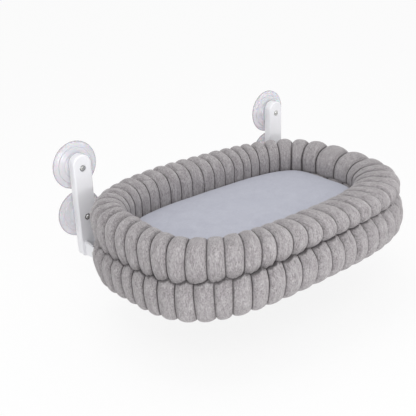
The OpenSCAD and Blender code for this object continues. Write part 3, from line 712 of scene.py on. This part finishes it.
# Painted shade: the colour darkens toward #443F41 where the attribute says shade falls.
deep = add(
    tree, "ShaderNodeMix", {"Factor": seam_depth, "A": toned.outputs["Result"], "B": linear("#443F41")},
    data_type="RGBA",
)
piled = add(tree, "ShaderNodeBump", {"Height": tufts.outputs["Fac"], "Strength": 1.0, "Distance": 2.0 * mm})
shader = add(tree, "ShaderNodeBsdfPrincipled", {
    "Base Color": deep.outputs["Result"], "Roughness": 0.95, "Specular IOR Level": 0.2,
    "Sheen Weight": 0.6, "Sheen Roughness": 0.35, "Sheen Tint": linear("#F6F2F3"),
    "Normal": piled.outputs[0],
})
add(tree, "ShaderNodeOutputMaterial", {"Surface": shader.outputs[0]})

upper_low, upper_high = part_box("upper_bolster")
lower_low, lower_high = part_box("lower_bolster")
joint_z = (upper_low.z + lower_high.z) / 2
board_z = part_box("base_board")[1].z
widest_z = upper_low.z + 0.42 * (upper_high.z - upper_low.z)
groove = 11.5 * mm
scallop = 7.5 * mm
shift_share = 0.37
stray_share = 0.028
lean, nudge, lower_lean, lower_nudge = (chance.normal(0, stray_share, puffs) for _ in range(4))

# How the stuffed rows settle, as a mean and waves round the ring: over the top, at the outer and inner
# side, under the lower row, at the lower row's outer side and at the joint between the rows.
top_settle = (10.5, -4.5, 6.0, 0.0, 0.0)
front_sag = 8.0 * mm
outer_settle = (-1.5, 4.0, 1.5, -1.5, -3.5)
inner_settle = (9.0, -6.0, 7.0, 2.0, 0.0)
under_settle = (4.5, 12.0, -9.0, -1.5, 2.0)
lobe_settle = (1.5, 12.0, 0.0, -5.0, 0.0)
joint_settle = (-3.5, 8.5, -6.0, 0.0, 0.0)


def settled(t, waves):
    """A settling height or width at the puff counts t."""
    a = on_ring(t, turn)
    mean, side, back, long_wave, cross_wave = waves
    return mm * (
        mean + side * np.cos(a) + back * np.sin(a) + long_wave * np.cos(2 * a) + cross_wave * np.sin(2 * a)
    )


def place_share(t, shift):
    """Where t lies across its puff, from -1 to 1."""
    return 2 * np.mod(t - shift, 1) - 1


def joint_height(t):
    """Height of the crease between the rows: up at the upper seams, down at the lower ones."""
    upper, lower = crease(place_share(t, 0.0)), crease(place_share(t, shift_share))
    return joint_z + scallop * (0.75 * upper - 0.45 * lower - 0.12) + settled(t, joint_settle)


def upper_section(count):
    """Outline of an upper puff: distance outside the ring's middle, height, and the way out."""
    phi = np.arange(count) * 2 * np.pi / count
    c, s = np.cos(phi), np.sin(phi)
    up = upper_high.z - widest_z
    down = 30 * mm
    crest = 8 * mm
    power = np.where(s > 0, np.where(c > 0, 2.3, 1.95), np.where(c > 0, 2.1, 4.0))
    wide = np.where(c > 0, 0.955 * half_w - crest, 0.93 * half_w + crest)
    n = wide * np.sign(c) * np.abs(c) ** (2 / power)
    height = np.where(s > 0, up, down)
    z = height * np.sign(s) * np.abs(s) ** (2 / power)
    out = np.c_[
        np.sign(n) * np.abs(n / wide) ** (power - 1) / wide,
        np.sign(z) * np.abs(z / height) ** (power - 1) / height,
    ]
    return n + crest, z + widest_z, out / np.linalg.norm(out, axis=1)[:, None]


def smooth_loop(corners, count):
    """A closed curve near the corners, with as many points as asked, evenly spaced."""
    loop = np.array(corners, float)
    for _ in range(4):
        after = np.roll(loop, -1, axis=0)
        loop = np.stack([0.75 * loop + 0.25 * after, 0.25 * loop + 0.75 * after], 1).reshape(-1, 2)
    closed = np.vstack([loop, loop[:1]])
    length = np.r_[0, np.cumsum(np.linalg.norm(np.diff(closed, axis=0), axis=1))]
    at = np.linspace(0, length[-1], count, endpoint=False)
    return np.c_[np.interp(at, length, closed[:, 0]), np.interp(at, length, closed[:, 1])]


def lower_section(count):
    """Outline of a lower puff, whose outer part hangs below the board and hides the tube."""
    low, top, deck = lower_low.z, lower_high.z + 16 * mm, board_z + 0.4 * mm
    loop = smooth_loop([
        (5.5 * mm, low + 14 * mm), (8 * mm, low + 1 * mm), (23 * mm, low - 3 * mm),
        (43 * mm, low + 7 * mm), (51 * mm, low + 31 * mm), (51.5 * mm, low + 52 * mm),
        (48 * mm, low + 71 * mm), (37 * mm, low + 83 * mm), (30 * mm, top),
        (-30 * mm, top), (-0.9 * half_w, top - 2 * mm), (-0.9 * half_w, deck), (-30 * mm, deck),
        (5.5 * mm, deck),
    ], count)
    along = np.roll(loop, -1, axis=0) - np.roll(loop, 1, axis=0)
    out = np.c_[along[:, 1], -along[:, 0]]
    return loop[:, 0], loop[:, 1], out / np.linalg.norm(out, axis=1)[:, None]


# Painted shade in the seams: a dark band of this width at each seam, and a soft darkening of this share over
# each puff towards its seams.
seam_dark_w = 2.1 * mm
seam_dark = 0.26


def puff_grid(k, section, leans, nudges, shift, columns=28):
    """One puff's counts, distances out and heights, how deep it is in its seams, and the shade painted into
    them.
    """
    n, z, out = section
    mid_z = (z.max() + z.min()) / 2
    tilt = (z - mid_z) / (z.max() - z.min()) * 2
    first = k + shift + nudges[k] + leans[k] * tilt
    last = k + 1 + shift + nudges[(k + 1) % puffs] + leans[(k + 1) % puffs] * tilt
    u = np.sin(np.linspace(-0.5, 0.5, columns) * np.pi)[:, None] * 0.992
    t = (first + last) / 2 + u * (last - first) / 2
    turning = on_ring(t, bend)
    tight = np.clip((1 + turning * n) / (1 + turning * seam_n), 0.3, 1.0)
    deep = crease(u) * (0.4 + 0.6 * tight)
    sink = groove * deep * (1 - 0.45 * np.clip(-2 * n / half_w, 0, 1)) * (1 - 0.3 * np.clip(-out[:, 1], 0, 1))
    # Painted shade: a dark band in the seam, narrower where the ring bends tight, and a soft darkening
    # towards it.
    shade_share = seam_dark_w / (path_s[-1] / puffs / 2 * tight)
    into_seam = np.clip((np.abs(u) - 1 + shade_share) / (0.8 * shade_share), 0, 1) ** 1.5
    into_seam = np.maximum(into_seam, seam_dark * np.abs(u) ** 4)
    return t, n - sink * out[:, 0], z - sink * out[:, 1], deep, into_seam


# The lower row is raised over each lug, in a slit that the lug passes through.
slit_x = (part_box("right_lug")[0].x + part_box("right_lug")[1].x) / 2
slit_y = (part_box("right_lug")[0].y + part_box("right_lug")[1].y) / 2
slit_half = 32 * mm
slit_edge = 7 * mm
slit_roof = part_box("right_lug")[1].z + 9.0 * mm
arm_mid = (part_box("right_arm_front")[0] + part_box("right_arm_front")[1]) / 2
spans = (  # name, reach from an arm, and the height that the fold leaves
    ("by_arms", 90 * mm, 0.14), ("near_arms", 115 * mm, 0.20), ("beside_arms", 140 * mm, 0.26),
    ("past_arms", 170 * mm, 0.33), ("away_from_arms", math.inf, 0.40),
)
slits = [
    path_s[np.argmin(np.hypot(path[:, 0] - side * slit_x, path[:, 1] + bed_y - slit_y))] for side in (1, -1)
]


def from_slit(t):
    """Distance along the ring's outer side from the nearest slit's middle."""
    s, whole = on_ring(t, path_s), path_s[-1]
    gaps = [np.abs(np.mod(s - m + whole / 2, whole) - whole / 2) for m in slits]
    return np.minimum(*gaps)


def puff_faces(columns, count, base):
    """Quads round a puff, and a fan at each end. The last two points are the ends' middles."""
    found = []
    for i in range(columns - 1):
        for j in range(count):
            a, b = base + i * count + j, base + i * count + (j + 1) % count
            found.append((a, b, b + count, a + count))
    first, last = base + columns * count, base + columns * count + 1
    top = base + (columns - 1) * count
    for j in range(count):
        found.append((first, base + (j + 1) % count, base + j))
        found.append((last, top + j, top + (j + 1) % count))
    return found


upper_gather = 4.2 * mm
lower_gather = 3.0 * mm
gather_reach = 13 * mm
gather_bend = 9 * mm


def gathers(t, over, k, seed):
    """Small folds where a puff's cloth is gathered into the joint, from 0 to 1."""
    beat = np.random.default_rng(seed * 1000 + k)
    count, start, amount = beat.uniform(2.4, 4.4), beat.uniform(0, 6.28), beat.uniform(0.3, 1.0)
    wave = np.sin(2 * np.pi * count * t + start + 1.4 * np.sin(over / gather_bend + start))
    return amount * np.exp(-((np.maximum(over, 0) / gather_reach) ** 2)) * (0.5 - 0.5 * wave) ** 2


joint_play = 0.1 * mm
joint_reach = 40 * mm


def upper_settled(k, t, side, height, deep, join, outward, seed):
    """An upper puff's distances out and heights, sagged and gathered into the joint."""
    above = np.clip((height - joint_z) / (upper_high.z - joint_z), 0, 1)
    front = np.clip(-np.sin(on_ring(t, turn)), 0, 1)
    height = height + (settled(t, top_settle) - front_sag * front) * above
    beneath = np.clip((widest_z - height) / (widest_z - joint_z), 0, 1.3)
    height = height + settled(t, joint_settle) * beneath
    side = side + settled(t, outer_settle) * outward
    side = side - upper_gather * gathers(t, height - join, k, seed) * outward * (1 - deep)
    return side, np.maximum(height, join + joint_play)


def lower_settled(k, t, side, height, deep, join, outward, seed):
    """A lower puff's distances out and heights, hung under the board and raised over a lug."""
    below = np.clip((joint_z - height) / (joint_z - lower_low.z), 0, 1)
    front = 1 - np.clip(np.sin(on_ring(t, turn)), 0, 1)
    height = height + settled(t, under_settle) * below * outward
    height = height + settled(t, joint_settle) * np.clip(1 - (joint_z - height) / joint_reach, 0, 1.3)
    side = side + settled(t, lobe_settle) * outward * front * (0.55 + 0.45 * below)
    side = side - lower_gather * gathers(t, join - height, k, seed) * outward * (1 - deep)
    height = np.minimum(height, join - joint_play)
    rise = np.clip((from_slit(t) - slit_half) / slit_edge, 0, 1)
    floor = slit_roof + (lower_low.z - slit_roof) * np.sqrt(1 - (1 - rise) ** 2)
    return side, np.maximum(height, np.where(from_slit(t) < slit_half + slit_edge, floor, -1))


broad_lump, broad_swell = 21 * mm, 0.9 * mm
small_lump, small_swell = 7 * mm, 0.35 * mm
# Painted shade in the joint's crease, and over the joint, where the upper puffs' gathered ends hang over it;
# on the outer side the seams' painted shade fades away from the joint.
joint_shade_w = 1.6 * mm
gather_shade_w = 15 * mm
seam_fade_w = 30 * mm


def make_row(row, section, leans, nudges, shift, is_upper, seed):
    """The puffs of one row, in five pieces by how far the fold can press them down."""
    settle = upper_settled if is_upper else lower_settled
    groups = {name: ([], [], [], []) for name, _, _ in spans}
    steps_round = np.hypot(section[0] - np.roll(section[0], 1), section[1] - np.roll(section[1], 1))
    around = np.cumsum(steps_round)
    in_joint = np.argmin(section[1]) if is_upper else np.argmax(section[1])
    around = np.mod(around - around[in_joint], steps_round.sum())
    for k in range(puffs):
        t, side, height, deep, into_seam = puff_grid(k, section, leans, nudges, shift)
        outer = side > -0.2 * half_w
        outward = np.clip(side / half_w, 0, 1)
        side = side + settled(t, inner_settle) * np.clip(-side / half_w, 0, 1)
        join = np.where(outer, joint_height(t), joint_z + settled(t, joint_settle))
        side, height = settle(k, t, side, height, deep, join, outward, seed)
        points = np.concatenate([ring_point(t, side), height[..., None]], -1)
        wave = lumps(points, broad_lump, seed) * broad_swell
        wave += lumps(points, small_lump, seed + 1) * small_swell
        way = np.stack([on_ring(t, normal[:, 0]), on_ring(t, normal[:, 1])], -1)
        points[..., :2] += way * (wave * section[2][:, 0] * (1 - deep))[..., None]
        points[..., 2] += wave * np.maximum(section[2][:, 1], 0) * (1 - deep) * is_upper
        x, y = ring_point(np.array([k + 0.5 + shift]), np.array([half_w]))[0]
        gap = math.hypot(abs(x) - arm_mid.x, y - arm_mid.y)
        name = next(name for name, reach, _ in spans if gap < reach)
        grid, faces, seam, lays = groups[name]
        base = sum(len(g) for g in grid)
        grid += [points.reshape(-1, 3), np.array([points[0].mean(0), points[-1].mean(0)])]
        faces += puff_faces(len(points), points.shape[1], base)
        over = height - join
        # Painted shade: the joint's crease, the band over the joint under the gathered ends, and the seams;
        # the ends' middles, hidden in the seams, are painted fully dark.
        joint_shade = np.exp(-((over / joint_shade_w) ** 2)) * (side > 0)
        gather_shade = 0.36 * is_upper * np.exp(-((over / gather_shade_w) ** 2)) * (side > 0)
        into_seam = into_seam * (1 - 0.4 * outward * (1 - np.exp(-((over / seam_fade_w) ** 2))))
        seam += [np.maximum(np.maximum(into_seam, 0.75 * joint_shade), gather_shade).reshape(-1), np.ones(2)]
        lay = np.stack([on_ring(t, path_s), around + 0 * t, 0 * t + 0.1 * k], -1)
        lays += [lay.reshape(-1, 3), np.zeros((2, 3))]
    for name, _, keep in spans:
        grid, faces, seam, lays = groups[name]
        made = new_piece(f"{row}_{name}", np.vstack(grid), faces, plush, "bed")
        layer = made.data.attributes.new("seam", "FLOAT", "POINT")
        layer.data.foreach_set("value", np.concatenate(seam).astype(np.float32))
        layer = made.data.attributes.new("lay", "FLOAT_VECTOR", "POINT")
        layer.data.foreach_set("vector", np.vstack(lays).astype(np.float32).reshape(-1))
        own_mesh(made)
        if name == spans[0][0]:
            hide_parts(f"{row}_bolster")


make_row("upper", upper_section(88), lean, nudge, 0.0, True, 3)
make_row("lower", lower_section(96), lower_lean, lower_nudge, shift_share, False, 17)

# Foam core: a slab of open cell foam, cut to the inside of the ring and rounded a little at its edges
# by wear. It shows when the pad is out, pale and full of small pits.

open_foam, tree = new_material("open_cell_foam")
place = add(tree, "ShaderNodeTexCoord").outputs["Object"]
cell_mm = 2.0  # true cells are 0.5 mm wide, too fine to show
cells = add(tree, "ShaderNodeTexVoronoi", {"Vector": place, "Scale": 1000 / cell_mm})
tint = add(
    tree, "ShaderNodeMix",
    {"Factor": cells.outputs["Distance"], "A": linear("#EDE6CF"), "B": linear("#D6CDB2")},
    data_type="RGBA",
)
holes = add(
    tree, "ShaderNodeBump", {"Height": cells.outputs["Distance"], "Strength": 0.8, "Distance": 0.6 * mm},
)
gloss = add(tree, "ShaderNodeMapRange", {"Value": cells.outputs["Distance"], "To Min": 0.9, "To Max": 1.0})
shader = add(tree, "ShaderNodeBsdfPrincipled", {
    "Base Color": tint.outputs["Result"], "Roughness": gloss.outputs["Result"], "Specular IOR Level": 0.2,
    "Normal": holes.outputs[0],
})
add(tree, "ShaderNodeOutputMaterial", {"Surface": shader.outputs[0]})


def plan_ring(margin, share, count, give):
    """Places round the ring's middle line, moved by a margin and then drawn in by a share."""
    a = np.arange(count) * 2 * np.pi / count
    places, ways = (np.stack([np.interp(a, turn, v[:, i]) for i in (0, 1)], -1) for v in (path, normal))
    settle = settled(np.interp(a, turn, path_t), inner_settle)
    p = places + (margin + give * settle)[:, None] * ways
    return p * share + [0, bed_y]


def slab(levels, count, middle_low, middle_high, give):
    """Points and faces of a closed slab from (margin, share, height) levels, low to high."""
    rings = [np.c_[plan_ring(m, q, count, give), np.full(count, z)] for m, q, z in levels]
    points = np.vstack(rings + [[(0, bed_y, middle_low)], [(0, bed_y, middle_high)]])
    faces = []
    for j in range(len(levels) - 1):
        for k in range(count):
            a, b = j * count + k, j * count + (k + 1) % count
            faces.append((a, b, b + count, a + count))
    last = len(levels) * count
    top = last - count
    for k in range(count):
        n = (k + 1) % count
        faces.append((last, n, k))
        faces.append((last + 1, top + k, top + n))
    return points, faces


foam_low, foam_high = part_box("base_foam")
foam_margin = -half_w - 2 * mm
edge_r = 3 * mm
inner_give = 0.93  # how far the slabs follow the ring's inner side
levels = [(foam_margin - edge_r, q, foam_low.z) for q in (0.4, 0.8, 1.0)]
levels += [
    (foam_margin - edge_r * (1 - math.sin(a)), 1.0, foam_low.z + edge_r * (1 - math.cos(a)))
    for a in np.linspace(0.2, math.pi / 2, 5)
]
levels += [
    (foam_margin - edge_r * (1 - math.cos(a)), 1.0, foam_high.z - edge_r * (1 - math.sin(a)))
    for a in np.linspace(0, math.pi / 2, 6)
]
levels += [(foam_margin - edge_r, q, foam_high.z) for q in (0.95, 0.8, 0.4)]
points, faces = slab(levels, 240, foam_low.z, foam_high.z, inner_give)
foam = new_piece("foam_core", points, faces, open_foam, "bed")
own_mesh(foam)
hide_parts("base_foam")

# Pad: a loose cushion in short cool grey plush, lightly filled, with a rounded side and a crown that
# dips in places. The pile is brushed in soft patches.

pad_plush, tree = new_material("pad_plush")
place = add(tree, "ShaderNodeTexCoord").outputs["Object"]
pad_pile_mm = 3.0  # clumps of pile, where a single fibre is 0.05 mm
pad_brush_mm = 40
tufts = add(
    tree, "ShaderNodeTexNoise",
    {"Vector": place, "Scale": 1000 / pad_pile_mm, "Detail": 4.0, "Roughness": 0.6, "Distortion": 0.5},
)
strokes = add(
    tree, "ShaderNodeTexNoise",
    {"Vector": place, "Scale": 1000 / pad_brush_mm, "Detail": 5.0, "Distortion": 1.5},
)
tint = add(
    tree, "ShaderNodeMix", {"Factor": tufts.outputs["Fac"], "A": linear("#ABADB8"), "B": linear("#C7C9D3")},
    data_type="RGBA",
)
brushed = add(
    tree, "ShaderNodeMix", {"Factor": strokes.outputs["Fac"], "A": linear("#E8E8EC"), "B": linear("#FFFFFF")},
    data_type="RGBA",
)
toned = add(
    tree, "ShaderNodeMix", {"Factor": 1.0, "A": tint.outputs["Result"], "B": brushed.outputs["Result"]},
    data_type="RGBA", blend_type="MULTIPLY",
)
piled = add(tree, "ShaderNodeBump", {"Height": tufts.outputs["Fac"], "Strength": 0.5, "Distance": 0.8 * mm})
shader = add(tree, "ShaderNodeBsdfPrincipled", {
    "Base Color": toned.outputs["Result"], "Roughness": 0.95, "Specular IOR Level": 0.2,
    "Sheen Weight": 0.35, "Sheen Roughness": 0.5, "Sheen Tint": linear("#F0F0F6"),
    "Normal": piled.outputs[0],
})
add(tree, "ShaderNodeOutputMaterial", {"Surface": shader.outputs[0]})

pad_low, pad_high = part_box("pad")
pad_edge = -46 * mm
pad_side = 24 * mm
pad_under = 8 * mm
pad_round = 5 * mm
crown_rise = 2 * mm
levels = [(pad_edge - pad_under, q, pad_low.z) for q in (0.3, 0.6, 0.9)]
levels += [
    (pad_edge - pad_round * (1 - math.sin(a)), 1.0, pad_low.z + pad_side / 2 * (1 - math.cos(a)))
    for a in np.linspace(0.3, math.pi / 2 - 0.1, 6)
]
levels += [
    (pad_edge - pad_round * (1 - math.cos(a)), 1.0, pad_low.z + pad_side / 2 * (1 + math.sin(a)))
    for a in np.linspace(0.1, math.pi / 2, 7)
]
crown_from = pad_low.z + pad_side
crown_to = pad_high.z + crown_rise
levels += [
    (pad_edge - pad_round, q, crown_from + (crown_to - crown_from) * (1 - q ** 6) ** 0.8)
    for q in np.linspace(0.97, 0.05, 26)
]
points, faces = slab(levels, 320, pad_low.z, crown_to, inner_give)
swell = np.clip((points[:, 2] - pad_low.z) / (pad_high.z - pad_low.z), 0, 1) ** 4
pad_lump, pad_dip = 45 * mm, 0.9 * mm
pad_fold, fold_dip = 12 * mm, 0.3 * mm
dips = pad_dip * (1 + lumps(points, pad_lump, 5)) + fold_dip * lumps(points, pad_fold, 6)
points[:, 2] -= swell * dips
pad = new_piece("lounge_pad", points, faces, pad_plush, "pad")
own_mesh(pad)
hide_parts("pad")

# Stage: a white floor well below the bed, a white world, three soft lamps, and the camera of the
# photograph. Seen directly, the floor and the world are whiter than the light that they give.


def seen_directly(tree):
    """1 for a ray from the camera, also off a gloss or through a clear piece, and 0 for other rays."""
    kind = add(tree, "ShaderNodeLightPath").outputs
    seen = add(
        tree, "ShaderNodeMath", {0: kind["Is Camera Ray"], 1: kind["Is Glossy Ray"]}, operation="MAXIMUM",
    )
    return add(
        tree, "ShaderNodeMath", {0: seen.outputs[0], 1: kind["Is Transmission Ray"]}, operation="MAXIMUM",
    ).outputs[0]


floor_white, tree = new_material("floor_white")
floor_glow = 0.86
paper = add(tree, "ShaderNodeBsdfDiffuse", {"Color": linear("#F4F4F4")})
glow = add(tree, "ShaderNodeEmission", {"Color": linear("#FFFFFF"), "Strength": 1.0})
share = add(tree, "ShaderNodeMath", {0: seen_directly(tree), 1: floor_glow}, operation="MULTIPLY")
surface = add(
    tree, "ShaderNodeMixShader", {0: share.outputs[0], 1: paper.outputs[0], 2: glow.outputs[0]},
)
add(tree, "ShaderNodeOutputMaterial", {"Surface": surface.outputs[0]})
floor_drop = 120 * mm
floor_z = cad_low.z - floor_drop
floor_r = 9.0
corners = [(x * floor_r, y * floor_r, floor_z) for x, y in ((-1, -1), (1, -1), (1, 1), (-1, 1))]
mesh = bpy.data.meshes.new("floor")
mesh.from_pydata(corners, [], [(0, 1, 2, 3)])
mesh.materials.append(floor_white)
floor = bpy.data.objects.new("floor", mesh)
bpy.context.scene.collection.objects.link(floor)
floor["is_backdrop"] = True

scene = bpy.context.scene
world = bpy.data.worlds.new("studio")
scene.world = world
world.use_nodes = True
tree = world.node_tree
tree.nodes.clear()
world_light = 0.79
power = add(
    tree, "ShaderNodeMapRange", {"Value": seen_directly(tree), "To Min": world_light, "To Max": 1.0},
)
sky = add(tree, "ShaderNodeBackground", {"Color": linear("#FFFFFF"), "Strength": power.outputs["Result"]})
add(tree, "ShaderNodeOutputWorld", {"Surface": sky.outputs[0]})

middle = (cad_low + cad_high) / 2
for name, spot, size, watts in (
    ("key", (-1.1, -1.05, 1.4), 0.8, 8.5), ("top", (-0.3, 0.2, 1.9), 1.0, 6),
    ("low", (-0.3, -1.8, -0.1), 0.8, 16.5),
):
    lamp = bpy.data.lights.new(name, "AREA")
    lamp.size = size
    lamp.energy = watts
    light = bpy.data.objects.new(name, lamp)
    light.location = middle + Vector(spot)
    light.rotation_euler = (middle - light.location).to_track_quat("-Z", "Y").to_euler()
    scene.collection.objects.link(light)

camera_at = Vector((-0.8907, -1.1514, 0.5023))
camera_azimuth, camera_elevation, camera_roll = (math.radians(d) for d in (-39.811, 23.160, -2.054))
camera_lens = 62.414
lens = bpy.data.cameras.new("camera")
lens.lens = camera_lens
lens.sensor_width = 36
camera = bpy.data.objects.new("camera", lens)
camera.rotation_mode = "QUATERNION"
back = Vector((
    math.sin(camera_azimuth) * math.cos(camera_elevation),
    -math.cos(camera_azimuth) * math.cos(camera_elevation), math.sin(camera_elevation),
))
aim = (-back).to_track_quat("-Z", "Y")
camera.rotation_quaternion = Quaternion(back, camera_roll) @ aim
camera.location = camera_at
scene.collection.objects.link(camera)
scene.camera = camera
scene.view_settings.view_transform = "Standard"

low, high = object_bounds()
